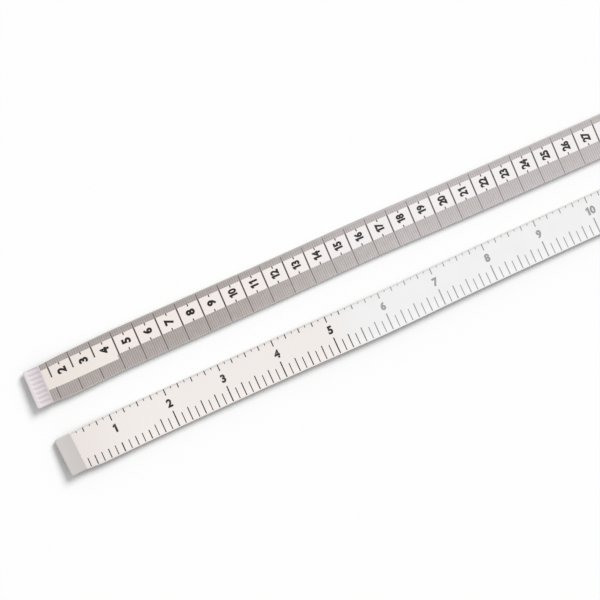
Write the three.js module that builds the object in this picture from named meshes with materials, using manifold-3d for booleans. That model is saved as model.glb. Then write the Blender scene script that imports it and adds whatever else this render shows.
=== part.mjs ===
// Cloth tape measure: one coated cloth tape with a crimped metal clip on each end.
// Both ends lie flat side by side, centimetre face up on one and inch face up on the other.
// The middle of the tape stands on edge, wound from its fold into a roll.
// Millimetres, +Z up. The centimetre end runs along +X from its zero face.
import * as THREE from 'three';
import { mergeVertices } from 'three/addons/utils/BufferGeometryUtils.js';
import Module from 'manifold-3d';

const wasm = await Module();
wasm.setup();

// Tape, with its length from one zero face to the other
const tapeLength = 1500;
const tapeWidth = 17.7;
const tapeThickness = 0.45;

// The two ends as they lie on the table
const endSpacing = 32.6;
const inchEndSetback = 0.5;
const endConvergence = THREE.MathUtils.degToRad(0.45);

// Lengths of each end that lift off the table one after another
const liftingLengths = 4;
const liftingPitch = 55;
const cutGap = 0.3;

// Each end stays flat this far from its zero face, then turns on edge
const cmFlat = 285;
const inchFlat = 272;
const twistLength = 70;
const twistSteps = 20;
const twistColumns = 4;
const edgeRun = 4;
const turnRadius = 8;

// Roll: two arms of the tape wound together round an S-shaped fold
const coreRadius = 9;
const layerPitch = 1;
const mostLoops = 24;
const stepsPerLoop = 36;

// The tape's cross sections stand at least this far apart
const leastStep = 0.2;

// Passes that find the winding angle, and the angle at which the inch end leaves the roll
const windingPasses = 60;
const leavingPasses = 8;

// End clips: a strip folded over the tape's end, crimped with grooves on the centimetre face
const clipLength = 7.4;
const clipWall = 0.35;
const clipFaceSlack = 0.15;
const clipEndSlack = 0.2;
const clipFoldRadius = 0.35;
const foldSteps = 4;
const grooveSideMargin = 1;
const groovePitch = 2.1;
const grooveWidth = 0.9;
const grooveDepth = 0.12;
const grooveFrom = 1.6;
const grooveEndMargin = 0.7;

// Past its clip the tape comes down to the table over this run
const settleRun = 24;
const settleSteps = 6;

// Sizes that follow
const clipHeight = tapeThickness + 2 * (clipFaceSlack + clipWall);
const tapeInset = clipWall + clipEndSlack;
const grooveCount = Math.floor((tapeWidth - 2 * grooveSideMargin - grooveWidth) / groovePitch) + 1;
const inchStraight = inchFlat + twistLength + edgeRun;
const inchZero = new THREE.Vector2(inchEndSetback, -endSpacing);
const turnEndPlace = around(inchZero, inchStraight, endConvergence);
const turnCentre = around(turnEndPlace, turnRadius, endConvergence + Math.PI / 2);

const clothWhite = new THREE.MeshStandardMaterial({ color: 0xf0ebe7, roughness: 0.55, metalness: 0 });
const clipMetal = new THREE.MeshStandardMaterial({ color: 0xcfcdcb, roughness: 0.4, metalness: 1 });

function around(centre, radius, angle) {
  return new THREE.Vector2(centre.x + radius * Math.cos(angle), centre.y + radius * Math.sin(angle));
}

function armRadius(sweep) {
  return coreRadius + layerPitch * sweep / Math.PI;
}

function armLength(sweep) {
  return coreRadius * sweep + layerPitch * sweep * sweep / (2 * Math.PI);
}

function armSweep(length) {
  const root = Math.sqrt(coreRadius * coreRadius + 2 * layerPitch * length / Math.PI);
  return (root - coreRadius) * Math.PI / layerPitch;
}

// The roll that a winding angle of the centimetre arm gives, and the run of tape in each part of the way.
// The centimetre end runs onto the top of the roll. The inch end leaves it at the angle at which a turn of
// turnRadius brings it onto its own line.
function rollOf(cmSweep) {
  const cmRadius = armRadius(cmSweep);
  let leaving = Math.PI;
  for (let pass = 0; pass < leavingPasses; pass += 1) {
    const reach = armRadius(cmSweep + leaving - 1.5 * Math.PI) + turnRadius;
    leaving = Math.PI - Math.asin((turnCentre.y + cmRadius) / reach);
  }
  const inchSweep = cmSweep + leaving - 1.5 * Math.PI;
  const centre = around(turnCentre, -armRadius(inchSweep) - turnRadius, leaving);
  const runs = {
    cmStraight: centre.x,
    cmArm: armLength(cmSweep),
    halfCore: Math.PI * coreRadius / 2,
    inchArm: armLength(inchSweep),
    turn: turnRadius * (leaving - Math.PI / 2 - endConvergence),
  };
  const length = runs.cmStraight + runs.cmArm + 2 * runs.halfCore + runs.inchArm + runs.turn + inchStraight;
  return { cmSweep, inchSweep, leaving, centre, runs, length };
}

// The winding angle that takes up the whole tape, by halving the range
function windAll() {
  let least = Math.PI;
  let most = mostLoops * Math.PI;
  for (let halving = 0; halving < windingPasses; halving += 1) {
    const middle = (least + most) / 2;
    if (rollOf(middle).length < tapeLength) {
      least = middle;
    } else {
      most = middle;
    }
  }
  return rollOf(least);
}

const roll = windAll();
const coreAngle = Math.PI / 2 - roll.cmSweep;

// Place and heading of the tape's middle line in plan, at a distance along it from the centimetre zero face
function planAt(distance) {
  const { runs, centre } = roll;
  let left = distance;
  if (left <= runs.cmStraight) {
    return { place: new THREE.Vector2(left, 0), heading: 0 };
  }
  left -= runs.cmStraight;
  if (left <= runs.cmArm) {
    const sweep = armSweep(runs.cmArm - left);
    const angle = coreAngle + sweep;
    return { place: around(centre, armRadius(sweep), angle), heading: angle - Math.PI / 2 };
  }
  left -= runs.cmArm;
  if (left <= runs.halfCore) {
    const angle = coreAngle - left / (coreRadius / 2);
    const bend = around(centre, coreRadius / 2, coreAngle);
    return { place: around(bend, coreRadius / 2, angle), heading: angle - Math.PI / 2 };
  }
  left -= runs.halfCore;
  if (left <= runs.halfCore) {
    const angle = coreAngle + left / (coreRadius / 2);
    const bend = around(centre, -coreRadius / 2, coreAngle);
    return { place: around(bend, coreRadius / 2, angle), heading: angle + Math.PI / 2 };
  }
  left -= runs.halfCore;
  if (left <= runs.inchArm) {
    const sweep = armSweep(left);
    const angle = coreAngle + Math.PI + sweep;
    return { place: around(centre, armRadius(sweep), angle), heading: angle + Math.PI / 2 };
  }
  left -= runs.inchArm;
  if (left <= runs.turn) {
    const angle = roll.leaving - Math.PI - left / turnRadius;
    return { place: around(turnCentre, turnRadius, angle), heading: angle - Math.PI / 2 };
  }
  left -= runs.turn;
  return { place: around(inchZero, inchStraight - left, endConvergence), heading: Math.PI + endConvergence };
}

// Turn of the tape about its own length: 0 centimetre face up, a quarter on edge, a half inch face up
function tiltAt(distance) {
  const cmTurn = THREE.MathUtils.smoothstep(distance, cmFlat, cmFlat + twistLength);
  const inchTurn = THREE.MathUtils.smoothstep(tapeLength - distance, inchFlat, inchFlat + twistLength);
  return Math.PI / 2 * (cmTurn + 1 - inchTurn);
}

function heightAt(distance) {
  const tilt = tiltAt(distance);
  const onTable = tapeWidth / 2 * Math.sin(tilt) + tapeThickness / 2 * Math.abs(Math.cos(tilt));
  const fromEnd = Math.min(distance, tapeLength - distance);
  const settled = THREE.MathUtils.smoothstep(fromEnd, clipLength, clipLength + settleRun);
  return onTable + (clipHeight - tapeThickness) / 2 * (1 - settled);
}

// A point of the tape: along it, across it towards its upper edge, and out of its centimetre face
function tapePoint(distance, across, out) {
  const { place, heading } = planAt(distance);
  const tilt = tiltAt(distance);
  const sideways = across * Math.cos(tilt) - out * Math.sin(tilt);
  return new THREE.Vector3(
    place.x - sideways * Math.sin(heading),
    place.y + sideways * Math.cos(heading),
    heightAt(distance) + across * Math.sin(tilt) + out * Math.cos(tilt),
  );
}

// Distances at which the tape bends, in order
function bendDistances() {
  const { runs } = roll;
  const bends = [];
  for (let step = 0; step <= settleSteps; step += 1) {
    const fromEnd = clipLength + settleRun * step / settleSteps;
    bends.push(fromEnd, tapeLength - fromEnd);
  }
  for (let step = 0; step <= twistSteps; step += 1) {
    const share = step / twistSteps;
    bends.push(cmFlat + twistLength * share, tapeLength - inchFlat - twistLength * share);
  }
  const stepAngle = 2 * Math.PI / stepsPerLoop;
  const cmArmEnd = runs.cmStraight + runs.cmArm;
  const inchArmStart = cmArmEnd + 2 * runs.halfCore;
  for (let sweep = 0; sweep < roll.cmSweep; sweep += stepAngle) {
    bends.push(cmArmEnd - armLength(sweep));
  }
  for (let sweep = 0; sweep < roll.inchSweep; sweep += stepAngle) {
    bends.push(inchArmStart + armLength(sweep));
  }
  for (let angle = stepAngle; angle < 2 * Math.PI; angle += stepAngle) {
    bends.push(cmArmEnd + angle * coreRadius / 2);
  }
  const turnEnd = tapeLength - inchStraight;
  for (let angle = 0; angle * turnRadius < runs.turn; angle += stepAngle) {
    bends.push(turnEnd - angle * turnRadius);
  }
  bends.push(runs.cmStraight, turnEnd - runs.turn);
  return bends.sort((a, b) => a - b);
}

const bends = bendDistances();

function stationsBetween(from, to) {
  const stations = [from];
  for (const bend of bends) {
    if (bend > stations[stations.length - 1] + leastStep && bend < to - leastStep) {
      stations.push(bend);
    }
  }
  stations.push(to);
  return stations;
}

// One closed solid of the tape between two distances, in columns across its width.
// Both faces are split along the same diagonals, so that a twisting stretch keeps its thickness.
function tapeSolid(from, to, columns) {
  const stations = stationsBetween(from, to);
  const row = columns + 1;
  const positions = [];
  for (const distance of stations) {
    for (const out of [-tapeThickness / 2, tapeThickness / 2]) {
      for (let column = 0; column <= columns; column += 1) {
        const across = tapeWidth * (column / columns - 0.5);
        positions.push(...tapePoint(distance, across, out).toArray());
      }
    }
  }
  const inchSide = (station, column) => 2 * row * station + column;
  const cmSide = (station, column) => 2 * row * station + row + column;
  const triangles = [];
  const quad = (a, b, c, d) => triangles.push(a, b, c, a, c, d);
  const last = stations.length - 1;
  for (let column = 0; column < columns; column += 1) {
    const next = column + 1;
    quad(inchSide(0, column), cmSide(0, column), cmSide(0, next), inchSide(0, next));
    quad(inchSide(last, column), inchSide(last, next), cmSide(last, next), cmSide(last, column));
    for (let station = 0; station < last; station += 1) {
      const on = station + 1;
      quad(inchSide(station, column), inchSide(station, next), inchSide(on, next), inchSide(on, column));
      quad(cmSide(on, next), cmSide(station, next), cmSide(station, column), cmSide(on, column));
    }
  }
  for (let station = 0; station < last; station += 1) {
    const on = station + 1;
    quad(inchSide(station, columns), cmSide(station, columns), cmSide(on, columns), inchSide(on, columns));
    quad(cmSide(station, 0), inchSide(station, 0), inchSide(on, 0), cmSide(on, 0));
  }
  const geometry = new THREE.BufferGeometry();
  geometry.setAttribute('position', new THREE.Float32BufferAttribute(positions, 3));
  geometry.setIndex(triangles);
  geometry.computeVertexNormals();
  return geometry;
}

function toSolid(geometry) {
  const bare = geometry.clone();
  bare.deleteAttribute('normal');
  bare.deleteAttribute('uv');
  const merged = mergeVertices(bare);
  return new wasm.Manifold(new wasm.Mesh({
    numProp: 3,
    vertProperties: Float32Array.from(merged.attributes.position.array),
    triVerts: Uint32Array.from(merged.index.array),
  }));
}

function toGeometry(solid) {
  const mesh = solid.getMesh();
  const geometry = new THREE.BufferGeometry();
  geometry.setAttribute('position', new THREE.BufferAttribute(mesh.vertProperties, 3));
  geometry.setIndex(new THREE.BufferAttribute(mesh.triVerts, 1));
  geometry.computeVertexNormals();
  return geometry;
}

// The folded strip, its outer end at X 0, standing on Z 0 and open towards +X
function foldedStrip() {
  const profile = new THREE.Shape();
  profile.moveTo(clipLength, 0);
  profile.lineTo(clipLength, clipWall);
  profile.lineTo(clipWall, clipWall);
  profile.lineTo(clipWall, clipHeight - clipWall);
  profile.lineTo(clipLength, clipHeight - clipWall);
  profile.lineTo(clipLength, clipHeight);
  profile.lineTo(clipFoldRadius, clipHeight);
  profile.absarc(clipFoldRadius, clipHeight - clipFoldRadius, clipFoldRadius, Math.PI / 2, Math.PI, false);
  profile.lineTo(0, clipFoldRadius);
  profile.absarc(clipFoldRadius, clipFoldRadius, clipFoldRadius, Math.PI, 1.5 * Math.PI, false);
  profile.closePath();
  const strip = new THREE.ExtrudeGeometry(profile, {
    depth: tapeWidth,
    bevelEnabled: false,
    curveSegments: foldSteps,
  });
  strip.rotateX(Math.PI / 2);
  strip.translate(0, tapeWidth / 2, 0);
  return strip;
}

// A clip with its crimp grooves in the face at the given height
function clipGeometry(groovedHeight) {
  let solid = toSolid(foldedStrip());
  const grooveLength = clipLength - grooveEndMargin - grooveFrom;
  for (let groove = 0; groove < grooveCount; groove += 1) {
    const cutter = new THREE.BoxGeometry(grooveLength, grooveWidth, 2 * grooveDepth);
    const across = (groove - (grooveCount - 1) / 2) * groovePitch;
    cutter.translate(grooveFrom + grooveLength / 2, across, groovedHeight);
    solid = solid.subtract(toSolid(cutter));
  }
  return toGeometry(solid);
}

// Least clear space between two windings of the roll, measured on points of its middle line
function leastRollGap(from, to) {
  const stations = stationsBetween(from, to);
  const places = stations.map((distance) => planAt(distance).place);
  const apart = coreRadius / 2;
  let least = Infinity;
  for (let i = 0; i < places.length; i += 1) {
    for (let j = 0; j < places.length - 1; j += 1) {
      if (Math.min(Math.abs(stations[i] - stations[j]), Math.abs(stations[i] - stations[j + 1])) > apart) {
        const side = new THREE.Line3(
          new THREE.Vector3(places[j].x, places[j].y, 0),
          new THREE.Vector3(places[j + 1].x, places[j + 1].y, 0),
        );
        const point = new THREE.Vector3(places[i].x, places[i].y, 0);
        const nearest = side.closestPointToPoint(point, true, new THREE.Vector3());
        least = Math.min(least, nearest.distanceTo(point) - tapeThickness);
      }
    }
  }
  return least;
}

const tapeMeasure = new THREE.Group();

function addMesh(name, geometry, material) {
  const mesh = new THREE.Mesh(geometry, material);
  mesh.name = name;
  tapeMeasure.add(mesh);
  return mesh;
}

// The tape's cuts, from each zero face to the roll
const cmCuts = [];
const inchCuts = [];
for (let length = 1; length <= liftingLengths; length += 1) {
  cmCuts.push(length * liftingPitch);
  inchCuts.push(length * liftingPitch);
}
cmCuts.push(cmFlat);
inchCuts.push(inchFlat);
const cmRollStart = roll.runs.cmStraight - edgeRun;
const inchRollStart = inchFlat + twistLength;

function addEnd(prefix, cuts, rollStart, fromZero) {
  let start = tapeInset;
  cuts.forEach((cut, index) => {
    const ends = [fromZero(start), fromZero(cut - cutGap / 2)].sort((a, b) => a - b);
    addMesh(`${prefix}_length_${index + 1}`, tapeSolid(...ends, 1), clothWhite);
    start = cut + cutGap / 2;
  });
  const twistEnds = [fromZero(start), fromZero(rollStart - cutGap / 2)].sort((a, b) => a - b);
  addMesh(`${prefix}_twist`, tapeSolid(...twistEnds, twistColumns), clothWhite);
}

addEnd('cm', cmCuts, cmRollStart, (distance) => distance);
addEnd('inch', inchCuts, inchRollStart, (distance) => tapeLength - distance);

const rolledFrom = cmRollStart + cutGap / 2;
const rolledTo = tapeLength - inchRollStart - cutGap / 2;
addMesh('rolled_middle', tapeSolid(rolledFrom, rolledTo, 1), clothWhite);
const loops = (roll.cmSweep + roll.inchSweep) / (2 * Math.PI);
const gap = leastRollGap(rolledFrom, rolledTo);
console.log(`roll of ${loops.toFixed(1)} loops, least gap ${gap.toFixed(3)} mm`);

addMesh('cm_end_clip', clipGeometry(clipHeight), clipMetal);
const inchClip = addMesh('inch_end_clip', clipGeometry(0), clipMetal);
inchClip.position.set(inchZero.x, inchZero.y, 0);
inchClip.rotation.z = endConvergence;

// The origin is on the table, under the middle of the whole object
tapeMeasure.updateMatrixWorld(true);
const box = new THREE.Box3().setFromObject(tapeMeasure, true);
tapeMeasure.position.set(-(box.min.x + box.max.x) / 2, -(box.min.y + box.max.y) / 2, -box.min.z);

export default tapeMeasure;
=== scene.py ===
# %% [markdown]
# A cloth tape measure. The real object is one ribbon of coated cloth, 150 cm long, with a thin metal clip
# crimped on each end. Its solids are already packed as a frame, and this lesson gives them their looks.
# The pieces could be modelled anywhere and moved into place at the end, but the frame is loaded first
# here, so that every piece below takes its place from it.

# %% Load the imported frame
import math

import bpy
import numpy as np
from mathutils import Matrix, Vector


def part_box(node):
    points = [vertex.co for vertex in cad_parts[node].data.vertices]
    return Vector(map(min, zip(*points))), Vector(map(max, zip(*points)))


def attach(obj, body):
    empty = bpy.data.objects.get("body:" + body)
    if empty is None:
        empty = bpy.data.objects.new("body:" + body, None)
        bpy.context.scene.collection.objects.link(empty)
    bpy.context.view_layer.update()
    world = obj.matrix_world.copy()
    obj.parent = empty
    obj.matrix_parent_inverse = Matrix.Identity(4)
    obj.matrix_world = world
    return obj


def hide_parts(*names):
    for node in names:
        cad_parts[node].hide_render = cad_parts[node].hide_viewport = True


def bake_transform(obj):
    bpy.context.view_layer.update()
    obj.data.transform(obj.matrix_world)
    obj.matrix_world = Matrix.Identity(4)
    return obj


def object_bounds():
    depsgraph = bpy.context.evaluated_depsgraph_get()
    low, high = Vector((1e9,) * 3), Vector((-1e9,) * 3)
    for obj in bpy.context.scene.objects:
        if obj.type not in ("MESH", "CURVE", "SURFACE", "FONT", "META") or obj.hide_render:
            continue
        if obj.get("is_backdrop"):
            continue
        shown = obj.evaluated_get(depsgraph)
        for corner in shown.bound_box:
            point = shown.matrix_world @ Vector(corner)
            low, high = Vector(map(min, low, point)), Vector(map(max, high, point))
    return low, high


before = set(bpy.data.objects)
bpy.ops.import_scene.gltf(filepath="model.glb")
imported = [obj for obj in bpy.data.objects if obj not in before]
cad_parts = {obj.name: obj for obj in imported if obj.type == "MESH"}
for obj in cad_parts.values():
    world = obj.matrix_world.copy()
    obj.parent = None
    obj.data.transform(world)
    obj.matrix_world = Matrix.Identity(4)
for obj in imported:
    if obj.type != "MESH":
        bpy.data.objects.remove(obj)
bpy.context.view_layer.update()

MM = 0.001


def in_mm(values, places=2):
    return [round(value / MM, places) for value in values]


clip_low, clip_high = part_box("cm_end_clip")
zero_face = Vector((clip_low.x, (clip_low.y + clip_high.y) / 2, 0))
print("solids", len(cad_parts), "and the centimetre zero face at", in_mm(zero_face))

# %% [markdown]
# The camera stands a metre over the two ends and looks almost straight down, leaned a little towards the
# zero end and the centimetre side. It could be aimed by eye, but the printed scale is a ruler: how its
# lines close up gives the lens and both leans. The three directions of the picture become the columns of
# its matrix.

# %% Camera
view_distance = 1000 * MM
lean_along = math.radians(7.54)
lean_across = math.radians(7.12)
picture_slope = math.radians(24.01)
sensor_width = 36
lens_per_width = 3.864
looked_at = zero_face + Vector((120.73, -12.45, 0)) * MM

backward = Vector((-math.sin(lean_along), math.sin(lean_across), 0))
backward.z = math.sqrt(1 - backward.length_squared)
level_right = (Vector((1, 0, 0)) - backward.x * backward).normalized()
level_up = backward.cross(level_right)
picture_right = math.cos(picture_slope) * level_right - math.sin(picture_slope) * level_up
picture_up = math.sin(picture_slope) * level_right + math.cos(picture_slope) * level_up
turned = Matrix((picture_right, picture_up, backward)).transposed().to_4x4()

bpy.ops.object.camera_add()
camera = bpy.context.object
camera.name = "studio_camera"
camera.data.sensor_width = sensor_width
camera.data.lens = sensor_width * lens_per_width
camera.matrix_world = Matrix.Translation(looked_at + view_distance * backward) @ turned
bpy.context.scene.camera = camera
print("lens", round(camera.data.lens, 1), "mm at", in_mm(camera.location, 0))

# %% [markdown]
# Colours are written as sRGB hex values, as a paint chart gives them, and shaders want linear light. One
# function turns them. Nodes could be added one statement at a time, but then a material fills a page. So
# a second small function adds a node with its settings and links, and each material reads as a list.

# %% Colour and node helpers
# Sockets of a Mix node for colours: its factor, its two colours and its result.
FACTOR, FIRST, SECOND, MIXED = 0, 6, 7, 2


def linear(hex_code):
    values = [int(hex_code[i:i + 2], 16) / 255 for i in (1, 3, 5)]
    return [v / 12.92 if v <= 0.04045 else ((v + 0.055) / 1.055) ** 2.4 for v in values] + [1.0]


def add_node(tree, kind, values=None, links=None, **settings):
    node = tree.nodes.new(kind)
    for name, value in settings.items():
        setattr(node, name, value)
    for name, value in (values or {}).items():
        node.inputs[name].default_value = value
    for name, socket in (links or {}).items():
        tree.links.new(socket, node.inputs[name])
    return node


def new_material(name):
    material = bpy.data.materials.new(name)
    material.use_nodes = True
    shader = material.node_tree.nodes["Principled BSDF"]
    return material, material.node_tree, shader


print("mid grey #808080 is", round(linear("#808080")[0], 3), "in linear light")

# %% [markdown]
# The main light is a large soft box at the far right, 40 degrees high. It could be an area lamp, but that
# lights the near end of a long tape more than the far end. A sun lamp with a wide disc gives the same
# soft shadow and lights both ends alike. Its energy is worked out from the light that a level surface is
# to get, so it can be raised or lowered without a change of level.

# %% Soft box
scene = bpy.context.scene
scene.view_settings.view_transform = "Standard"

key_light = 0.49
key_elevation = math.radians(40)
key_azimuth = math.radians(39)
key_disc = math.radians(28)

towards_key = Vector((math.cos(key_azimuth) * math.cos(key_elevation),
                      math.sin(key_azimuth) * math.cos(key_elevation), math.sin(key_elevation)))
bpy.ops.object.light_add(type="SUN", location=towards_key)
key = bpy.context.object
key.name = "soft_box"
key.rotation_euler = towards_key.to_track_quat("Z", "Y").to_euler()
key.data.angle = key_disc
key.data.energy = key_light * math.pi / math.sin(key_elevation)
print("soft box energy", round(key.data.energy, 2))

# %% [markdown]
# White walls stand all round. They are the world's background, and they fill the shadows at half
# strength. At full strength they would be white to the eye as well, but they would wash out the cloth. So
# Light Path tells the rays that the eye sees, straight or in the metal, from the rays that only carry
# light, and each kind has its own level.

# %% White walls
wall_white = 1.0
wall_light = 0.5


def seen_or_lit(tree, seen, lit):
    """One level for rays that the eye sees, straight or mirrored, and one for rays that light things."""
    rays = add_node(tree, "ShaderNodeLightPath").outputs
    mirrored = add_node(tree, "ShaderNodeMath", operation="MAXIMUM",
                        links={0: rays["Is Glossy Ray"], 1: rays["Is Transmission Ray"]})
    shown = add_node(tree, "ShaderNodeMath", operation="MAXIMUM",
                     links={0: rays["Is Camera Ray"], 1: mirrored.outputs[0]})
    return add_node(tree, "ShaderNodeMapRange", {"To Min": lit, "To Max": seen},
                    {"Value": shown.outputs[0]}).outputs["Result"]


walls = bpy.data.worlds.new("white_walls")
walls.use_nodes = True
scene.world = walls
background = walls.node_tree.nodes["Background"]
background.inputs["Color"].default_value = linear("#ffffff")
wall_level = seen_or_lit(walls.node_tree, wall_white, wall_light)
walls.node_tree.links.new(wall_level, background.inputs["Strength"])
print("walls light at", wall_light)

# %% [markdown]
# The table is painted matt white and takes the tape's shadow. One white for all rays would be simpler,
# but a white table throws so much light up that the upright cloth of the roll is washed out. So it is
# white to the eye, and throws less than half of the light back.

# %% Table
table_size = 6.0
table_bounce = 0.45
bpy.ops.object.select_all(action="DESELECT")
bpy.ops.mesh.primitive_plane_add(size=table_size)
table = bpy.context.object
table.name = "white_table"
# Matt paint: no gloss at all, so the eye finds only the shadow on it.
table_paint, tree, shader = new_material("matt_white_table")
tree.links.new(seen_or_lit(tree, linear("#ffffff")[0], table_bounce), shader.inputs["Base Color"])
shader.inputs["Roughness"].default_value = 1.0
shader.inputs["Specular IOR Level"].default_value = 0.0
table.data.materials.append(table_paint)
table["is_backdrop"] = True
print("table", table_size, "m square")

# %% [markdown]
# The tape is plain woven cloth, and its threads show through the coat as a fine relief. The relief could
# be modelled, but that takes millions of faces, so two crossed wave textures drive a Bump node. In object
# space the weave would slide as the tape curls up. So all finishes read a map named flat, which holds
# each point's place on the flat tape in metres: U along it, V across it.

# %% Weave of the cloth
# Real threads are about 0.3 mm apart, too fine to show in the picture, so they are drawn twice as coarse.
thread_spacing = 0.6 * MM
thread_relief = 0.012 * MM
thread_strength = 0.6
# The length of one band of a wave texture whose scale is 1.
wave_period = 2 * math.pi / 20


def flat_place(tree):
    """The flat map, and from it the place along the tape alone."""
    flat_map = add_node(tree, "ShaderNodeUVMap", uv_map="flat").outputs["UV"]
    axes = add_node(tree, "ShaderNodeSeparateXYZ", links={0: flat_map})
    return flat_map, axes.outputs["X"]


def woven_relief(tree, flat_map):
    threads = {"Scale": wave_period / thread_spacing, "Distortion": 0.0}
    warp = add_node(tree, "ShaderNodeTexWave", threads, {"Vector": flat_map}, bands_direction="X")
    weft = add_node(tree, "ShaderNodeTexWave", threads, {"Vector": flat_map}, bands_direction="Y")
    weave = add_node(tree, "ShaderNodeMath", operation="MAXIMUM",
                     links={0: warp.outputs["Fac"], 1: weft.outputs["Fac"]})
    return add_node(tree, "ShaderNodeBump", {"Distance": thread_relief, "Strength": thread_strength},
                    {"Height": weave.outputs[0]}).outputs["Normal"]


print("weave scale", round(wave_period / thread_spacing), "for threads", thread_spacing / MM, "mm apart")

# %% [markdown]
# A thin white vinyl coat is spread on both faces of the cloth and rolled smooth. It has a soft sheen, is
# never quite even, yellows towards the ends that are handled and holds soil beside the clips. One flat
# white would look like paper. So a noise mottles its tint and its sheen, and two long fades along the
# tape bring in the yellowed and the soiled tint.

# %% Vinyl coat
mottle_size = 9 * MM
mottle_detail = 3.0
coat_roughness = {"To Min": 0.42, "To Max": 0.56}
coat_specular = 0.3


def coated_cloth(name, white, shade, aged, soiled, handled_runs):
    material, tree, shader = new_material(name)
    flat_map, along = flat_place(tree)
    age, soil = [add_node(tree, "ShaderNodeMapRange", {"From Min": clean, "From Max": handled},
                          {"Value": along}, interpolation_type="SMOOTHSTEP").outputs["Result"]
                 for clean, handled in handled_runs]
    mottle = add_node(tree, "ShaderNodeTexNoise", {"Scale": 1 / mottle_size, "Detail": mottle_detail},
                      {"Vector": flat_map}).outputs["Fac"]
    tint = add_node(tree, "ShaderNodeMix", {FIRST: linear(white), SECOND: linear(shade)},
                    {FACTOR: mottle}, data_type="RGBA")
    for fade, colour in ((age, aged), (soil, soiled)):
        tint = add_node(tree, "ShaderNodeMix", {SECOND: linear(colour)},
                        {FACTOR: fade, FIRST: tint.outputs[MIXED]}, data_type="RGBA")
    sheen = add_node(tree, "ShaderNodeMapRange", coat_roughness, {"Value": mottle})
    tree.links.new(tint.outputs[MIXED], shader.inputs["Base Color"])
    tree.links.new(sheen.outputs["Result"], shader.inputs["Roughness"])
    tree.links.new(woven_relief(tree, flat_map), shader.inputs["Normal"])
    shader.inputs["Specular IOR Level"].default_value = coat_specular
    return material


cm_handled = [(180 * MM, 60 * MM), (48 * MM, 6 * MM)]
inch_handled = [(1355 * MM, 1380 * MM), (1460 * MM, 1494 * MM)]
# The centimetre face looks a warm white, the inch face a cooler and greyer one.
cm_coat = coated_cloth("vinyl_coat_cm_face", "#f6f2f2", "#eeeaea", "#f1e8e4", "#e6ded7", cm_handled)
inch_coat = coated_cloth("vinyl_coat_inch_face", "#f0f0f0", "#eaeaea", "#eee8e5", "#e6dfdb", inch_handled)
# The slit edge has no coat: bare threads, which look darker and warmer than the faces.
cut_edge = coated_cloth("cut_cloth_edge", "#e4dfda", "#d8d2cc", "#dcd4cb", "#d3cac0", cm_handled)
print("coat mottled in patches of", mottle_size / MM, "mm")

# %% [markdown]
# The scale is printed in black ink, which lies on the coat as a very thin film. Such ink is never even:
# it gets paler where the roller runs dry and blacker where it is inked again, and it thins in patches
# where it has been rubbed. A plain black would stand off the cloth like a sticker. So two fades along the
# tape and a noise mix a full and a pale colour of each ink.

# %% Printing ink
rub_size = 2.5 * MM
rub_depth = 0.5
rub_detail = 4.0
ink_roughness = 0.55
ink_specular = 0.3


def printing_ink(name, full, pale, dry_run, inked_run):
    material, tree, shader = new_material(name)
    flat_map, along = flat_place(tree)
    inked = add_node(tree, "ShaderNodeMapRange",
                     {"From Min": inked_run[0], "From Max": inked_run[1], "To Min": 1.0, "To Max": 0.0},
                     {"Value": along}, interpolation_type="SMOOTHSTEP")
    dry = add_node(tree, "ShaderNodeMapRange", {"From Min": dry_run[0], "From Max": dry_run[1]},
                   {"Value": along, "To Max": inked.outputs["Result"]}, interpolation_type="SMOOTHSTEP")
    rub = add_node(tree, "ShaderNodeTexNoise", {"Scale": 1 / rub_size, "Detail": rub_detail},
                   {"Vector": flat_map})
    patch = add_node(tree, "ShaderNodeMapRange", {"To Min": -rub_depth, "To Max": rub_depth},
                     {"Value": rub.outputs["Fac"]})
    thin = add_node(tree, "ShaderNodeMath", operation="ADD", use_clamp=True,
                    links={0: dry.outputs["Result"], 1: patch.outputs["Result"]})
    film = add_node(tree, "ShaderNodeMix", {FIRST: linear(full), SECOND: linear(pale)},
                    {FACTOR: thin.outputs[0]}, data_type="RGBA")
    tree.links.new(film.outputs[MIXED], shader.inputs["Base Color"])
    shader.inputs["Roughness"].default_value = ink_roughness
    shader.inputs["Specular IOR Level"].default_value = ink_specular
    return material


print("ink thins in patches of about", rub_size / MM, "mm")

# %% [markdown]
# All print is one black ink, but a fine line lets white show beside it and looks grey. The real
# millimetre lines are too fine for a picture of the whole tape and run together into a grey band. They
# could be drawn at their true width, but then they would flicker or vanish. So they are drawn coarser, in
# a paler ink, on a haze of ink that is spread between them.

# %% Inks of both scales
cm_runs = (60 * MM, 200 * MM), (280 * MM, 360 * MM)
inch_runs = (128 * MM, 150 * MM), (250 * MM, 300 * MM)
# The numbers have the thickest film and look black.
number_ink = printing_ink("black_number_ink", "#0e0c0d", "#2c292a", *cm_runs)
# Lines on white cloth look dark grey, and lighter where they cross a band.
line_ink = printing_ink("dark_line_ink", "#433d3c", "#625d5d", *cm_runs)
band_ink = printing_ink("band_line_ink", "#6e6562", "#8d8887", *cm_runs)
# Millimetre lines and the haze between them are close in tone, so a band looks ribbed only from near by.
fine_ink = printing_ink("fine_line_ink", "#9c938f", "#b2adac", *cm_runs)
ink_haze = printing_ink("ink_haze", "#b0a8a4", "#c6c1c0", *cm_runs)
# The inch face is worn: its print fades to grey towards the middle of the straight end.
inch_ink = printing_ink("worn_inch_ink", "#1c1919", "#a09e9f", *inch_runs)
# A pale grey line along the upper edge is painted shade, where the curled-up edge turns from the light.
upper_edge_shade_ink = printing_ink("painted_upper_edge_shade", "#cbc5c1", "#cccac9", *inch_runs)
print("print is palest from", in_mm(cm_runs[0][1:]), "and", in_mm(inch_runs[0][1:]), "mm on")
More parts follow.
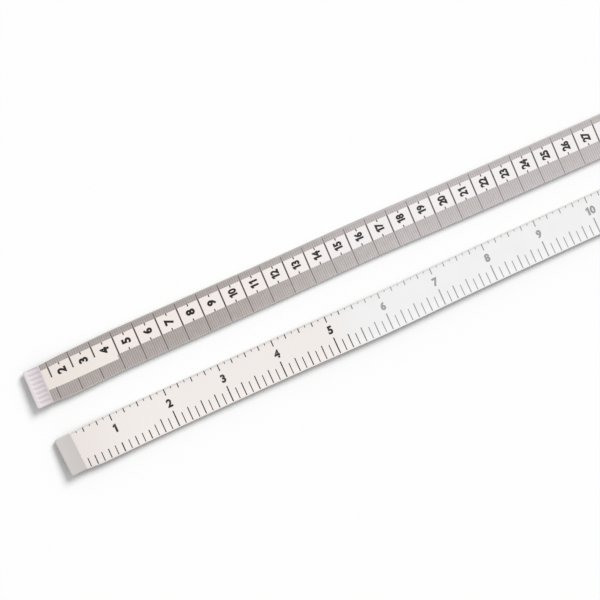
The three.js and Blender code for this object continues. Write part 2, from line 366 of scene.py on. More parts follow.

# %% [markdown]
# The clips are stamped from rolled aluminium strip. Rolling leaves fine scratches along the strip, which
# run across the tape once the clip is on, and they spread the mirrored walls to a satin. An anisotropic
# shader would do the same for one light, but the export keeps plain roughness best. So a noise, stretched
# along the scratches, varies colour and roughness, and a painted shade darkens the metal from the fold to
# the tape.

# %% Clip metal
# Real scratches are a hundredth of a millimetre wide, so they are drawn much coarser to show at all.
scratch_width = 0.12 * MM
scratch_length = 4 * MM
scratch_detail = 3.0
satin_roughness = {"To Min": 0.4, "To Max": 0.55}
# Painted shade: a clip gets darker between these two places along the tape, by the share given for it.
painted_shade_run = {"From Min": 1 * MM, "From Max": 6 * MM}
cm_painted_shade, inch_painted_shade = 0.5, 0.3


def satin_metal(name, bright, dull, painted_shade):
    material, tree, shader = new_material(name)
    flat_map, along = flat_place(tree)
    # Painted shade: the metal is darker towards the tape.
    towards_tape_shade = add_node(tree, "ShaderNodeMapRange", {**painted_shade_run, "To Max": painted_shade}, {"Value": along})
    stretch = add_node(tree, "ShaderNodeMapping", {"Scale": (1 / scratch_width, 1 / scratch_length, 1)},
                       {"Vector": flat_map})
    scratch = add_node(tree, "ShaderNodeTexNoise", {"Scale": 1.0, "Detail": scratch_detail},
                       {"Vector": stretch.outputs["Vector"]}).outputs["Fac"]
    share = add_node(tree, "ShaderNodeMath", operation="ADD", use_clamp=True,
                     links={0: scratch, 1: towards_tape_shade.outputs["Result"]})
    grain = add_node(tree, "ShaderNodeMix", {FIRST: linear(bright), SECOND: linear(dull)},
                     {FACTOR: share.outputs[0]}, data_type="RGBA")
    satin = add_node(tree, "ShaderNodeMapRange", satin_roughness, {"Value": scratch})
    tree.links.new(grain.outputs[MIXED], shader.inputs["Base Color"])
    tree.links.new(satin.outputs["Result"], shader.inputs["Roughness"])
    shader.inputs["Metallic"].default_value = 1.0
    return material


# The centimetre clip shines pale and a little pink. Its grooves get a darker metal: painted shade in the
# hollows, with a little dirt.
bright_satin = satin_metal("bright_satin_aluminium", "#dfd8db", "#b9b2b4", cm_painted_shade)
groove_shade_and_dirt = satin_metal("painted_groove_shade_and_dirt", "#d7d0d3", "#b4adb0", cm_painted_shade)
# The inch clip is more worn and looks an even grey.
grey_satin = satin_metal("grey_satin_aluminium", "#c2bdbb", "#b4b0ae", inch_painted_shade)
print("scratches", scratch_width / MM, "by", scratch_length / MM, "mm")

# %% [markdown]
# The tape lies along one way: straight from the centimetre end, turned on edge, wound into the roll and
# back out to the inch end. It could be a curve object drawn by hand, but the solids follow formulas, and
# the visual tape has to lie exactly where they do. So the same sizes are written here, in the plane of
# the table, from the centimetre zero face.

# %% Sizes of the tape and its way
tape_length = 1500 * MM
tape_width = 17.7 * MM
tape_thickness = 0.45 * MM
end_spacing = 32.6 * MM
inch_setback = 0.5 * MM
convergence = math.radians(0.45)
cm_flat = 285 * MM
inch_flat = 272 * MM
twist_run = 70 * MM
edge_run = 4 * MM
turn_radius = 8 * MM


def around(centre, radius, angle):
    return centre + radius * Vector((math.cos(angle), math.sin(angle)))


inch_straight = inch_flat + twist_run + edge_run
inch_zero = Vector((inch_setback, -end_spacing))
turn_end = around(inch_zero, inch_straight, convergence)
turn_centre = around(turn_end, turn_radius, convergence + math.pi / 2)
print("inch end turns towards the roll", round(inch_straight / MM), "mm from its zero face")

# %% [markdown]
# The roll is the tape wound up double, as it is put away: two arms wind in together and meet in an S at
# the core. Turns could be added until it looks full, but the tape is as long as it is. So the winding
# angle is found by halving, until the whole length is used. A second, inner search finds where the inch
# arm leaves the roll, so that it meets the small turn without a kink.

# %% Winding of the roll
core_radius = 9 * MM
layer_pitch = 1 * MM
most_loops = 24
halvings = 60
leaving_tries = 8
# The centimetre arm leaves the roll at a quarter turn. At the core the inch arm starts half a turn on.
arm_lead = math.pi / 2 + math.pi


def arm_radius(sweep):
    return core_radius + layer_pitch * sweep / math.pi


def arm_length(sweep):
    return core_radius * sweep + layer_pitch * sweep * sweep / (2 * math.pi)


def arm_sweep(length):
    root = math.sqrt(core_radius ** 2 + 2 * layer_pitch * length / math.pi)
    return (root - core_radius) * math.pi / layer_pitch


def wind(cm_sweep):
    leaving = math.pi
    for _ in range(leaving_tries):
        reach = arm_radius(cm_sweep + leaving - arm_lead) + turn_radius
        leaving = math.pi - math.asin((turn_centre.y + arm_radius(cm_sweep)) / reach)
    inch_sweep = cm_sweep + leaving - arm_lead
    centre = around(turn_centre, -arm_radius(inch_sweep) - turn_radius, leaving)
    half_core = math.pi * core_radius / 2
    turn = turn_radius * (leaving - math.pi / 2 - convergence)
    runs = [centre.x, arm_length(cm_sweep), half_core, half_core]
    runs += [arm_length(inch_sweep), turn, inch_straight]
    return {"sweep": cm_sweep, "leaving": leaving, "centre": centre, "runs": runs}


least, most = math.pi, most_loops * math.pi
for _ in range(halvings):
    middle = (least + most) / 2
    if sum(wind(middle)["runs"]) < tape_length:
        least = middle
    else:
        most = middle
roll = wind(least)
core_angle = math.pi / 2 - roll["sweep"]
print("roll centre", in_mm(roll["centre"]), "and arm turns", round(roll["sweep"] / (2 * math.pi), 2))

# %% [markdown]
# A point of the tape is known by its distance from the centimetre zero face. The way has seven runs:
# straight, arm, two halves of the S, arm, turn and straight, and each has its own formula. They could be
# worked out anew for every point of every piece, but it is quicker to sample the way once in small steps
# and look between two samples.

# %% Place and heading along the way
CLOCKWISE, ANTICLOCKWISE = -1, 1


def on_arc(centre, radius, angle, way_round):
    return around(centre, radius, angle), angle + way_round * math.pi / 2


def plan_at(distance):
    """The place on the table, and the heading there, at a distance from the zero face."""
    centre, runs = roll["centre"], roll["runs"]
    run, left = 0, distance
    while run < len(runs) - 1 and left > runs[run]:
        left -= runs[run]
        run += 1
    s_radius = core_radius / 2
    if run == 0:
        return Vector((left, 0)), 0.0
    if run == 1:
        sweep = arm_sweep(runs[run] - left)
        return on_arc(centre, arm_radius(sweep), core_angle + sweep, CLOCKWISE)
    if run == 2:
        bend = around(centre, s_radius, core_angle)
        return on_arc(bend, s_radius, core_angle - left / s_radius, CLOCKWISE)
    if run == 3:
        bend = around(centre, -s_radius, core_angle)
        return on_arc(bend, s_radius, core_angle + left / s_radius, ANTICLOCKWISE)
    if run == 4:
        sweep = arm_sweep(left)
        return on_arc(centre, arm_radius(sweep), core_angle + math.pi + sweep, ANTICLOCKWISE)
    if run == 5:
        return on_arc(turn_centre, turn_radius, roll["leaving"] - math.pi - left / turn_radius, CLOCKWISE)
    return around(inch_zero, inch_straight - left, convergence), math.pi + convergence


way_step = 0.25 * MM
overrun = 3 * MM
way_distance = np.arange(-overrun, tape_length + overrun, way_step)
way = [plan_at(distance) for distance in way_distance.tolist()]
way_x = np.array([place.x for place, _ in way])
way_y = np.array([place.y for place, _ in way])
way_heading = np.unwrap([heading for _, heading in way])
print("way of", len(way), "points reaches", round(way_x.max() / MM, 2), "mm from the zero face")

# %% [markdown]
# A real tape isn't dead flat where it lies. It rests on its upper edge and leans up from there, it rises
# and falls by a fraction of a millimetre, both ends lift, bow and sway to one side, and the clips pinch
# them. A cloth simulation could find such a shape, but never this one, so each is a short formula of the
# distance from the nearer end, with sizes that give the edges and shadows of the real tape.

# %% How the two ends lie
clip_length = 7.4 * MM
settle_run = 24 * MM
ripple_length = 190 * MM
lift_run = 60 * MM
bow_from, bow_to = 12 * MM, 42 * MM
sway_run = 32 * MM
end_pinch = 0.055
pinch_from, pinch_to = clip_length - 1 * MM, clip_length + 9 * MM
# Each end has its own lie, in millimetres.
cm_lie = {"lean": 1.0, "lift": 1.7, "crest": 245, "bow": 0.7, "sway": -0.4, "sway_at": 158}
inch_lie = {"lean": 1.8, "lift": 1.1, "crest": 145, "bow": 0.25, "sway": 0.65, "sway_at": 150}


def smoothstep(value, low, high):
    share = np.clip((value - low) / (high - low), 0, 1)
    return share * share * (3 - 2 * share)


def lie_at(distance):
    from_end = np.minimum(distance, tape_length - distance)
    cm_side = distance < tape_length - distance
    lie = {key: np.where(cm_side, cm_lie[key], inch_lie[key]) * MM for key in cm_lie}
    bow = lie["bow"] * (1 - smoothstep(from_end, bow_from, bow_to))
    sway = lie["sway"] * np.exp(-((from_end - lie["sway_at"]) / sway_run) ** 2)
    return {"lean": lie["lean"],
            "lift": lie["lift"] * np.maximum(1 - from_end / lift_run, 0) ** 2,
            "stray": bow + sway,
            "ripple": 0.5 + 0.5 * np.cos(2 * math.pi * (from_end - lie["crest"]) / ripple_length),
            "settled": smoothstep(from_end, clip_length, clip_length + settle_run),
            "width": 1 - end_pinch * (1 - smoothstep(from_end, pinch_from, pinch_to))}


print("stray beside the centimetre clip", in_mm(lie_at(np.array([clip_length]))["stray"]), "mm")

# %% [markdown]
# One function gives the place of any point of the tape, from its distance along, its place across and its
# height out of the centimetre face. It turns the tape on edge by a tilt, from 0 on the centimetre end to
# half a turn on the inch end, and curls its long edges up a little. The print could simply follow the
# cloth, but real tape is slit after printing, and the cut wanders: so the print takes only a part of what
# strays to one side.

# %% A point of the tape
half_width = tape_width / 2
clip_height = 1.45 * MM
ripple_height = 0.4 * MM
upper_curl, lower_curl = 0.2 * MM, 0.5 * MM
upper_power, lower_power = 12, 4
lying_power = 4
# The share of the stray that the print doesn't take, and how sharply that ends at the tape's edges.
print_true = 0.65
print_edge_power = 8


def tape_point(distance, across, out, printed=False):
    lie = lie_at(distance)
    cm_turn = smoothstep(distance, cm_flat, cm_flat + twist_run)
    inch_turn = smoothstep(tape_length - distance, inch_flat, inch_flat + twist_run)
    tilt = math.pi / 2 * (cm_turn + 1 - inch_turn)
    lying = np.cos(tilt) ** lying_power
    if printed:
        across = across + print_true * lie["stray"] * (1 - np.abs(across / half_width) ** print_edge_power)
    across = across * lie["width"]

    height = half_width * np.sin(tilt) + tape_thickness / 2 * np.abs(np.cos(tilt))
    height += (clip_height - tape_thickness) / 2 * (1 - lie["settled"])
    height += lie["lift"] + ripple_height * lie["ripple"] * lie["settled"] * lying
    height += lie["lean"] * (half_width - across) / tape_width * lying
    share = np.abs(across / half_width)
    curl = np.where(across > 0, upper_curl * share ** upper_power, lower_curl * share ** lower_power)
    out = out + curl * lie["settled"] * np.cos(tilt)

    sideways = across * np.cos(tilt) - out * np.sin(tilt)
    heading = np.interp(distance, way_distance, way_heading)
    x = np.interp(distance, way_distance, way_x) - sideways * np.sin(heading)
    y = np.interp(distance, way_distance, way_y) - lie["stray"] + sideways * np.cos(heading)
    z = height + across * np.sin(tilt) + out * np.cos(tilt)
    return np.stack([x, y, z], axis=1) + np.array(zero_face)


ten_centimetres = tape_point(np.array([100 * MM]), np.array([0.0]), np.array([0.0]))[0]
print("10 cm line lies at", in_mm(ten_centimetres))

# %% [markdown]
# Every piece of the tape is drawn flat first, as on a cutting table: X along the tape from its own zero,
# Y across it, Z out of its face. A Curve modifier could bend it along the way, but it knows nothing of
# tilt, lean and curl. So the finished flat mesh is laid in one go: its flat place is kept as its map, and
# each vertex moves to its point of the tape.

# %% Laying a flat piece along the way
CM_FACE, INCH_FACE = 1, -1


def lay(piece, face, printed=False):
    mesh = piece.data
    flat = np.empty(len(mesh.vertices) * 3)
    mesh.vertices.foreach_get("co", flat)
    flat = flat.reshape(-1, 3)
    corner_vertex = np.empty(len(mesh.loops), dtype=int)
    mesh.loops.foreach_get("vertex_index", corner_vertex)
    flat_map = mesh.uv_layers.get("flat") or mesh.uv_layers.new(name="flat")
    flat_map.data.foreach_set("uv", flat[corner_vertex, :2].ravel())
    distance = flat[:, 0] if face == CM_FACE else tape_length - flat[:, 0]
    placed = tape_point(distance, flat[:, 1], face * flat[:, 2], printed)
    mesh.vertices.foreach_set("co", placed.ravel())
    mesh.update()


print("pieces are laid with", way_step / MM, "mm between two samples of the way")

# %% [markdown]
# Four helpers do what a hand does again and again: select one piece, clear what is picked in its mesh,
# apply a modifier, and draw a flat grid. A plane would be simpler, but cloth and print need many short
# faces to bend. A grid is added at unit size, scaled and moved, and the transform is applied, so that the
# mesh holds its true size.

# %% Helpers for modelling
def only(piece):
    bpy.ops.object.select_all(action="DESELECT")
    piece.select_set(True)
    bpy.context.view_layer.objects.active = piece


def clear_picks(mesh):
    for part in (mesh.vertices, mesh.edges, mesh.polygons):
        part.foreach_set("select", [False] * len(part))


def modify(piece, kind, **settings):
    only(piece)
    modifier = piece.modifiers.new(kind.lower(), kind)
    for name, value in settings.items():
        setattr(modifier, name, value)
    bpy.ops.object.modifier_apply(modifier=modifier.name)


def flat_grid(name, low, high, height, columns, rows):
    bpy.ops.object.select_all(action="DESELECT")
    bpy.ops.mesh.primitive_grid_add(x_subdivisions=columns, y_subdivisions=rows, size=1)
    grid = bpy.context.object
    grid.name = name
    grid.scale = (high[0] - low[0], high[1] - low[1], 1)
    grid.location = ((low[0] + high[0]) / 2, (low[1] + high[1]) / 2, height)
    bpy.ops.object.transform_apply(location=True, rotation=True, scale=True)
    return grid


print("a flat grid is drawn at its size and place, then its transform is applied")

# %% [markdown]
# The scale is printed by rule: a group of lines, the same for every centimetre or inch. All lines could
# be drawn in one long loop, but a printer cuts one group and repeats it, and so does an Array modifier. A
# line is a flat strip across the tape, split into short segments so that it can curl with the cloth.

# %% One line of the scale
edge_margin = 0.15 * MM
line_segment = 1.6 * MM


def scale_line(place, start, end, width, film):
    """One printed line across the tape, from start to end as measured from the upper edge."""
    rows = max(1, math.ceil((end - start) / line_segment))
    low = (place - width / 2, half_width - end)
    high = (place + width / 2, half_width - start)
    line = flat_grid("line", low, high, 0, 1, rows)
    line.data.materials.append(film)
    return line


def join_print(scale, added):
    only(scale)
    for piece in added:
        piece.select_set(True)
    bpy.ops.object.join()
    return scale


def repeat(name, lines, pitch, count):
    unit = join_print(lines[0], lines[1:])
    unit.name = name
    modify(unit, "ARRAY", count=count, use_relative_offset=False, use_constant_offset=True,
           constant_offset_displace=(pitch, 0, 0))
    return unit


print("lines keep", edge_margin / MM, "mm from the tape's edges")

# %% [markdown]
# On the centimetre face, each centimetre has eight millimetre lines in a band along each edge, a longer
# half line, and one line right across. A line changes its ink where it leaves a band, so that it shows as
# dark as on the real tape. Each is drawn in two or three strips for that, and the group is repeated 150
# times.

# %% Centimetre scale
centimetre = 10 * MM
millimetre = 1 * MM
mm_line, half_line, cm_line = 0.42 * MM, 0.5 * MM, 0.62 * MM
upper_band, lower_band = 3.0 * MM, 10.65 * MM
half_reach = 1.0 * MM
lower_edge = tape_width - edge_margin
bands = (edge_margin, upper_band), (lower_band, lower_edge)
half_tips = (upper_band, upper_band + half_reach), (lower_band - half_reach, lower_band)
last_cm = round(tape_length / centimetre)

lines = []
for start, end in bands:
    for step in range(1, 10):
        width = half_line if step == 5 else mm_line
        lines.append(scale_line(step * millimetre, start, end, width, fine_ink))
for start, end in half_tips:
    lines.append(scale_line(5 * millimetre, start, end, half_line, line_ink))
lines.append(scale_line(centimetre, upper_band, lower_band, cm_line, line_ink))
for start, end in bands:
    lines.append(scale_line(centimetre, start, end, half_line, band_ink))
cm_print = repeat("cm_scale", lines, centimetre, last_cm)
print("centimetre scale of", len(cm_print.data.polygons), "faces")

# %% [markdown]
# The haze of ink between the millimetre lines is a very thin strip in each band. It could be a darker
# tint in the cloth's own material, but ink belongs to the print, and can then be cut away with it. It
# lies a hair below the lines, so that they stay on top, and its steps along the tape are those of the
# cloth.

# %% Haze between the millimetre lines
haze_depth = 0.01 * MM
cloth_step = 0.8 * MM
for start, end in ((0, upper_band), (lower_band, lower_edge)):
    haze = flat_grid("haze", (0, half_width - end), (tape_length, half_width - start), -haze_depth,
                     round(tape_length / cloth_step), math.ceil((end - start) / line_segment))
    haze.data.materials.append(ink_haze)
    cm_print = join_print(cm_print, [haze])
print("bands of haze", upper_band / MM, "and", round((lower_edge - lower_band) / MM, 2), "mm wide")

# %% [markdown]
# The inch face has lines at eighths, short ones at the upper edge and long ones at the lower edge. A pale
# grey line along the upper edge is painted shade, where the curled-up edge turns from the light. The
# length of a line goes by rank, and the greatest common divisor of the eighth and 8 is that rank: 8 for a
# whole inch, 4 for a half, 2 for a quarter, 1 for the rest. So a table of four sizes does instead of a
# list of lines.

# %% Inch scale
inch = 25.4 * MM
upper_reach = {8: 3.1 * MM, 4: 2.3 * MM, 2: 2.2 * MM, 1: 1.2 * MM}
lower_reach = {8: 7.5 * MM, 4: 6.6 * MM, 2: 6.4 * MM, 1: 5.4 * MM}
upper_width = {8: 0.45 * MM, 4: 0.42 * MM, 2: 0.41 * MM, 1: 0.29 * MM}
lower_width = {8: 0.52 * MM, 4: 0.45 * MM, 2: 0.44 * MM, 1: 0.38 * MM}
inch_margin = 0.45 * MM
# The painted shade line lies this far below the upper edge.
edge_shade_from, edge_shade_to = 0.3 * MM, 0.55 * MM
last_inch = int(tape_length / inch)

lines = []
for eighth in range(1, 9):
    rank = math.gcd(eighth, 8)
    place, reach = eighth * inch / 8, tape_width - lower_reach[rank]
    lines.append(scale_line(place, edge_margin, upper_reach[rank], upper_width[rank], inch_ink))
    lines.append(scale_line(place, reach, tape_width - inch_margin, lower_width[rank], inch_ink))
inch_print = repeat("inch_scale", lines, inch, last_inch)
edge_shade_strip = flat_grid("edge_shade_strip", (0, half_width - edge_shade_to), (tape_length, half_width - edge_shade_from), 0,
                   round(tape_length / cloth_step), 1)
edge_shade_strip.data.materials.append(upper_edge_shade_ink)
inch_print = join_print(inch_print, [edge_shade_strip])
print("inch scale of", len(inch_print.data.polygons), "faces")

# %% [markdown]
# Beside each clip a short field under the numbers is bare cloth, and the lines stop at its edges. The
# lines there could be drawn shorter one by one, but a cut is simpler: bisect splits the flat lines at
# both edges of the field, and the faces inside it are deleted, before the numbers are set.

# %% Bare field beside each clip
field_end = 39.5 * MM
cm_field = 7.7 * MM, 12.5 * MM
inch_field = 8.9 * MM, 13.3 * MM


def pick_faces(piece, test):
    clear_picks(piece.data)
    for face in piece.data.polygons:
        face.select = test(face.center)
    bpy.ops.object.mode_set(mode="EDIT")
    bpy.ops.mesh.select_mode(type="FACE")


def leave_bare(scale, start, end):
    """Clears the lines beside the clip, from start to end as measured from the upper edge."""
    top, bottom = half_width - start, half_width - end
    only(scale)
    for level in (top, bottom):
        pick_faces(scale, lambda place: place.x < field_end)
        bpy.ops.mesh.bisect(plane_co=(0, level, 0), plane_no=(0, 1, 0))
        bpy.ops.object.mode_set(mode="OBJECT")
    pick_faces(scale, lambda place: place.x < field_end and bottom < place.y < top)
    bpy.ops.mesh.delete(type="FACE")
    bpy.ops.object.mode_set(mode="OBJECT")


leave_bare(cm_print, *cm_field)
leave_bare(inch_print, *inch_field)
print("lines of", len(cm_print.data.polygons), "and", len(inch_print.data.polygons), "faces are left")

# %% [markdown]
# The numbers are bold and narrow. Each of the ten digits is drawn once as a text object, made a mesh, and
# cut across at short steps so that it can bend with the tape. The font's 1 is a bare bar, which would
# read as a line of the scale, so a 1 with a flag is drawn point by point. All are brought to a height of
# 1, so that a size in millimetres sets them.

# %% Ten digits
digit_weight = 0.05
digit_curve_steps = 3
digit_cuts = 5
merge_share = 0.001
flagged_one = [(0.13, 0), (0.33, 0), (0.33, 0.76), (0.18, 0.76), (0, 0.64), (0, 0.46), (0.13, 0.54)]


def draw_digit(character):
    bpy.ops.object.select_all(action="DESELECT")
    bpy.ops.object.text_add()
    digit = bpy.context.object
    digit.data.body = character
    digit.data.resolution_u = digit_curve_steps
    digit.data.offset = digit_weight
    bpy.ops.object.convert(target="MESH")
    digit = bpy.context.object
    if character == "1":
        digit.data.clear_geometry()
        digit.data.from_pydata([(x, y, 0) for x, y in flagged_one], [], [range(len(flagged_one))])
    corners = np.array([v.co for v in digit.data.vertices])
    low, high = corners.min(axis=0), corners.max(axis=0)
    height = high[1] - low[1]
    bpy.ops.object.mode_set(mode="EDIT")
    bpy.ops.mesh.select_all(action="SELECT")
    bpy.ops.mesh.remove_doubles(threshold=merge_share)
    for cut in range(1, digit_cuts + 1):
        bpy.ops.mesh.select_all(action="SELECT")
        level = low[1] + height * cut / (digit_cuts + 1)
        bpy.ops.mesh.bisect(plane_co=(0, level, 0), plane_no=(0, 1, 0))
    bpy.ops.object.mode_set(mode="OBJECT")
    corners = np.array([v.co[:2] for v in digit.data.vertices])
    faces = [list(face.vertices) for face in digit.data.polygons]
    bpy.data.objects.remove(digit)
    return (corners - (low[:2] + high[:2]) / 2) / height, faces


digits = {character: draw_digit(character) for character in "0123456789"}
widths = {character: round(float(np.ptp(digits[character][0][:, 0])), 2) for character in digits}
print("digit widths as a share of their height", widths)

# %% [markdown]
# Then the numbers are set from copies of those ten digits, as a printer sets type: turned on their side
# between the centimetre lines, upright on the inch lines. Two hundred text objects would do too, but each
# would have to be converted and cut again. One mesh for each set of numbers is quicker.

# %% Setting the numbers
cm_number_drop = 6.7 * MM
inch_number_drop = 6.65 * MM
cm_unit_type = {"size": 4.05 * MM, "squeeze": 0.97, "spacing": 0}
cm_type = {"size": 3.75 * MM, "squeeze": 0.87, "spacing": 1.92 * MM}
inch_type = {"size": 3.7 * MM, "squeeze": 0.98, "spacing": 2.3 * MM}


def cm_place(number):
    return (number - 0.5) * centimetre, half_width - cm_number_drop


def inch_place(number):
    return number * inch, half_width - inch_number_drop


def set_numbers(name, numbers, type_sizes, place_of, on_side, film):
    corners, faces = [], []
    for number in numbers:
        text = str(number)
        along, across = place_of(number)
        for index, character in enumerate(text):
            shape, shape_faces = digits[character]
            right = shape[:, 0] * type_sizes["size"] * type_sizes["squeeze"]
            right = right + (index - (len(text) - 1) / 2) * type_sizes["spacing"]
            up = shape[:, 1] * type_sizes["size"]
            x, y = (along - up, across + right) if on_side else (along + right, across + up)
            first = sum(len(block) for block in corners)
            corners.append(np.stack([x, y, np.zeros(len(x))], axis=1))
            faces.extend([[first + vertex for vertex in face] for face in shape_faces])
    mesh = bpy.data.meshes.new(name)
    mesh.from_pydata(np.concatenate(corners).tolist(), [], faces)
    mesh.materials.append(film)
    piece = bpy.data.objects.new(name, mesh)
    scene.collection.objects.link(piece)
    return piece


# The clip covers the first centimetre, so its numbers start at 2.
cm_units = set_numbers("cm_units", range(2, 10), cm_unit_type, cm_place, True, number_ink)
cm_numbers = set_numbers("cm_numbers", range(10, last_cm + 1), cm_type, cm_place, True, number_ink)
inch_numbers = set_numbers("inch_numbers", range(1, last_inch + 1), inch_type, inch_place, False, inch_ink)
print("numbers of", len(cm_numbers.data.polygons), "and", len(inch_numbers.data.polygons), "faces")
for numbers in (cm_units, cm_numbers):
    cm_print = join_print(cm_print, [numbers])
inch_print = join_print(inch_print, [inch_numbers])

# %% [markdown]
# The real tape is one strip, but here it is made in nine lengths, because each end can be lifted and
# curls up at four places. A length of cloth is a flat grid that Solidify gives its thickness. The cut
# would leave a sharp edge all round, which cloth hasn't got, so the long edges are bevelled. The short
# ends stay square, because they meet the next length.

# %% One length of cloth
edge_softness = 0.12 * MM
edge_steps = 2
cloth_rows = 16
face_slope = 0.5
cloth_smoothing = math.radians(35)


def soften_long_edges(cloth):
    mesh = cloth.data
    clear_picks(mesh)
    for edge in mesh.edges:
        a, b = (mesh.vertices[v].co for v in edge.vertices)
        outermost = min(abs(a.y), abs(b.y)) > half_width - edge_softness
        edge.select = outermost and abs(a.z - b.z) < edge_softness
    bpy.ops.object.mode_set(mode="EDIT")
    bpy.ops.mesh.select_mode(type="EDGE")
    bpy.ops.mesh.bevel(offset=edge_softness, segments=edge_steps, affect="EDGES")
    bpy.ops.object.mode_set(mode="OBJECT")


def cloth_length(name, start, end):
    cloth = flat_grid(name, (start, -half_width), (end, half_width), tape_thickness / 2,
                      round((end - start) / cloth_step), cloth_rows)
    modify(cloth, "SOLIDIFY", thickness=tape_thickness, offset=-1)
    soften_long_edges(cloth)
    for coat in (cm_coat, inch_coat, cut_edge):
        cloth.data.materials.append(coat)
    for face in cloth.data.polygons:
        up = face.normal.z
        face.material_index = 0 if up > face_slope else 1 if up < -face_slope else 2
    lay(cloth, CM_FACE)
    only(cloth)
    bpy.ops.object.shade_smooth_by_angle(angle=cloth_smoothing)
    return cloth


print("cloth edges softened by", edge_softness / MM, "mm")

# %% [markdown]
# The print of one length is a copy of the whole flat print, cut to that length with bisect. It could be
# an image or a mask in the cloth's material, but as a mesh it stays sharp from near by. Solidify gives it
# the thickness of an ink film. A real film is far thinner, but where the tape bends in, a thinner one
# would sink into the cloth between two steps.

# %% The print on one length
film_thickness = 0.05 * MM
film_sunk = 0.01 * MM


def print_length(name, whole_print, start, end, face):
    film = whole_print.copy()
    film.data = whole_print.data.copy()
    film.name = name
    scene.collection.objects.link(film)
    only(film)
    bpy.ops.object.mode_set(mode="EDIT")
    for place, side in ((start, {"clear_inner": True}), (end, {"clear_outer": True})):
        bpy.ops.mesh.select_all(action="SELECT")
        bpy.ops.mesh.bisect(plane_co=(place, 0, 0), plane_no=(1, 0, 0), **side)
    bpy.ops.object.mode_set(mode="OBJECT")
    modify(film, "SOLIDIFY", thickness=film_thickness, offset=1)
    film.data.transform(Matrix.Translation((0, 0, tape_thickness / 2 - film_sunk)))
    lay(film, face, printed=True)
    return film


print("ink film", film_thickness / MM, "mm thick")

# %% [markdown]
# Now the nine lengths: four at each end, and the rolled middle with what is left of both ends. They could
# be cut at the places where the tape bends, but a cut there would open. So each is cut about half way
# between two bends, where the tape stays straight, and the print runs on across the cut. Each length of
# cloth gets its own print, cut to the same span.

# %% Nine lengths
clip_reach = 0.55 * MM
cm_cuts = [clip_reach, 82.5 * MM, 142.5 * MM, 192.5 * MM, 252.5 * MM]
inch_cuts = [clip_reach, 82.5 * MM, 137.5 * MM, 192.5 * MM, 242.5 * MM]


def tape_pieces(name, start, end):
    cloth = cloth_length(name, start, end)
    cm_film = print_length(name + "_cm_print", cm_print, start, end, CM_FACE)
    from_inch = tape_length - end, tape_length - start
    inch_film = print_length(name + "_inch_print", inch_print, *from_inch, INCH_FACE)
    return cloth, cm_film, inch_film


lengths = {}
for number in range(1, len(cm_cuts)):
    start, end = cm_cuts[number - 1:number + 1]
    lengths["cm", number] = tape_pieces(f"cm_tape_{number}", start, end)
    start, end = inch_cuts[number - 1:number + 1]
    lengths["inch", number] = tape_pieces(f"inch_tape_{number}", tape_length - end, tape_length - start)
rolled = tape_pieces("rolled_tape", cm_cuts[-1], tape_length - inch_cuts[-1])
for whole in (cm_print, inch_print):
    bpy.data.objects.remove(whole)
print("rolled length has", len(rolled[0].data.polygons), "faces of cloth and",
      len(rolled[1].data.polygons) + len(rolled[2].data.polygons), "of print")

# %% [markdown]
# A clip is a strip of metal folded round the end of the tape and pressed. It could be cut from a block,
# but a real one is sheet, so it is made as sheet. It starts as the upper flap, a grid with eight cells to
# each groove of the crimp. The press struck it a little off centre. Every cell in a groove gets a darker
# metal, painted shade with a little dirt, and is pressed down.

# %% Upper flap of a clip
flap_height = clip_height / 2
fold_radius = 0.4 * MM
flap_steps = 24
groove_pitch = 2.17 * MM
groove_count = 8
groove_shift = 0.48 * MM
groove_depth = 0.05 * MM
groove_from, groove_to = 2.0 * MM, 6.6 * MM
groove_share = 0.2
cells_per_groove = 8
flap_rows = round(cells_per_groove * tape_width / groove_pitch)
first_groove = groove_shift - (groove_count - 1) / 2 * groove_pitch


def in_groove(place):
    offset = (place.y - first_groove) / groove_pitch
    counted = 0 <= round(offset) < groove_count
    near = abs(offset - round(offset)) < groove_share
    return counted and near and groove_from < place.x < groove_to


def upper_flap(name, metal):
    flap = flat_grid(name, (fold_radius, -half_width), (clip_length, half_width), flap_height,
                     flap_steps, flap_rows)
    flap.data.materials.append(metal)
    # The second metal is darker: painted shade in the grooves, with a little dirt.
    flap.data.materials.append(groove_shade_and_dirt)
    for polygon in flap.data.polygons:
        polygon.material_index = 1 if in_groove(polygon.center) else 0
    pick_faces(flap, in_groove)
    bpy.ops.transform.translate(value=(0, 0, -groove_depth))
    bpy.ops.object.mode_set(mode="OBJECT")
    return flap


print("crimp of", groove_count, "grooves on a flap of", flap_steps, "by", flap_rows, "cells")

# %% [markdown]
# The fold follows the metal round the tape's end: a quarter turn spun from the flap's outer edge, a short
# wall, a second quarter turn, and the lower flap. That flap could be one long extrusion, but its shading
# would run from end to end, so it is extruded in as many steps as the upper one. Doubles are merged and
# normals turned outwards before Solidify gives the wall, and a small bevel breaks its edges.

# %% Fold and lower flap
fold_steps = 5
clip_wall = 0.35 * MM
wall_break = 0.1 * MM
wall_corner = math.radians(60)
pick_tolerance = 0.01 * MM
merge_distance = 0.001 * MM


def pick_edge_at(piece, x, z):
    mesh = piece.data
    clear_picks(mesh)
    for edge in mesh.edges:
        ends = [mesh.vertices[v].co for v in edge.vertices]
        edge.select = all(max(abs(end.x - x), abs(end.z - z)) < pick_tolerance for end in ends)
    bpy.ops.object.mode_set(mode="EDIT")
    bpy.ops.mesh.select_mode(type="EDGE")


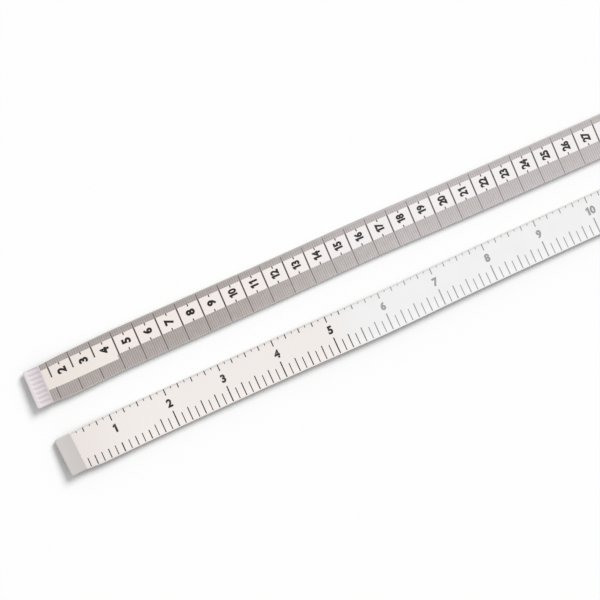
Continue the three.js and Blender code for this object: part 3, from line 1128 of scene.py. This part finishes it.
def fold_and_close(flap):
    bend_height = flap_height - fold_radius
    forward = ((clip_length - fold_radius) / flap_steps, 0, 0)
    quarter = {"steps": fold_steps, "angle": math.pi / 2, "axis": (0, 1, 0)}
    pick_edge_at(flap, fold_radius, flap_height)
    bpy.ops.mesh.spin(center=(fold_radius, 0, bend_height), **quarter)
    bpy.ops.object.mode_set(mode="OBJECT")
    pick_edge_at(flap, 0, bend_height)
    bpy.ops.mesh.extrude_edges_move(TRANSFORM_OT_translate={"value": (0, 0, -2 * bend_height)})
    bpy.ops.mesh.spin(center=(fold_radius, 0, -bend_height), **quarter)
    bpy.ops.object.mode_set(mode="OBJECT")
    pick_edge_at(flap, fold_radius, -flap_height)
    for _ in range(flap_steps):
        bpy.ops.mesh.extrude_edges_move(TRANSFORM_OT_translate={"value": forward})
    bpy.ops.mesh.select_all(action="SELECT")
    bpy.ops.mesh.remove_doubles(threshold=merge_distance)
    bpy.ops.mesh.normals_make_consistent(inside=False)
    bpy.ops.object.mode_set(mode="OBJECT")
    top = max(flap.data.polygons, key=lambda polygon: polygon.center.z)
    print(flap.name, "upper flap looks", "up" if top.normal.z > 0 else "down")
    modify(flap, "SOLIDIFY", thickness=clip_wall, offset=-1)
    modify(flap, "BEVEL", width=wall_break, segments=edge_steps, limit_method="ANGLE",
           angle_limit=wall_corner)


print("clip wall", clip_wall / MM, "mm")

# %% [markdown]
# The two outer corners of a clip are rounded by the stamp. A bevel there would run into the fold, so each
# vertex near a corner is pulled along the tape by the depth of a quarter circle, and less the nearer it
# is to the tape. Both clips are then made alike, set on a little askew as real ones are, and laid at the
# ends of the tape. The press struck both from the centimetre face, so the inch clip is turned over.

# %% Two crimped clips
corner_radius = 1 * MM
clip_smoothing = math.radians(40)
# How far each clip is turned, and how far it stands past its zero face.
cm_askew, cm_proud = math.radians(-0.7), 0.8 * MM
inch_askew, inch_proud = math.radians(2.3), 0.1 * MM


def round_corners(clip):
    for vertex in clip.data.vertices:
        past = max(abs(vertex.co.y) - (half_width - corner_radius), 0)
        pull = corner_radius - math.sqrt(corner_radius ** 2 - min(past, corner_radius) ** 2)
        vertex.co.x += pull * max(1 - vertex.co.x / clip_length, 0)


def crimped_clip(name, face, metal, askew, proud):
    clip = upper_flap(name, metal)
    fold_and_close(clip)
    round_corners(clip)
    if face == INCH_FACE:
        clip.data.transform(Matrix.Rotation(math.pi, 4, "X"))
    clip.data.transform(Matrix.Translation((-proud, 0, 0)) @ Matrix.Rotation(askew, 4, "Z"))
    lay(clip, face)
    only(clip)
    bpy.ops.object.shade_smooth_by_angle(angle=clip_smoothing)
    return clip


cm_clip = crimped_clip("cm_crimped_clip", CM_FACE, bright_satin, cm_askew, cm_proud)
inch_clip = crimped_clip("inch_crimped_clip", INCH_FACE, grey_satin, inch_askew, inch_proud)
print("clips of", len(cm_clip.data.polygons), "faces")

# %% [markdown]
# Last, the clips and the rolled length are each tied to the one body that they move with. The other
# lengths could be cut at their hinge and ride on two bodies, but cloth has no such joint. Here they are
# only fixed where they lie and tied to no body. The solids that the pieces replace are hidden.


for (prefix, number), pieces in lengths.items():
    for piece in pieces:
        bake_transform(piece)
    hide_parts(f"{prefix}_length_{number}")
for piece in rolled:
    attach(piece, "roll")
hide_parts("rolled_middle", "cm_twist", "inch_twist", "cm_length_5", "inch_length_5")
for clip, prefix in ((cm_clip, "cm"), (inch_clip, "inch")):
    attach(clip, f"{prefix}_end")
    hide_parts(f"{prefix}_end_clip")

# %% [markdown]
# Last, the box that the finished pieces fill is worked out and written down.

# %% Sizes and finish
looks_low, looks_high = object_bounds()
print("looks reach from", in_mm(looks_low), "to", in_mm(looks_high))
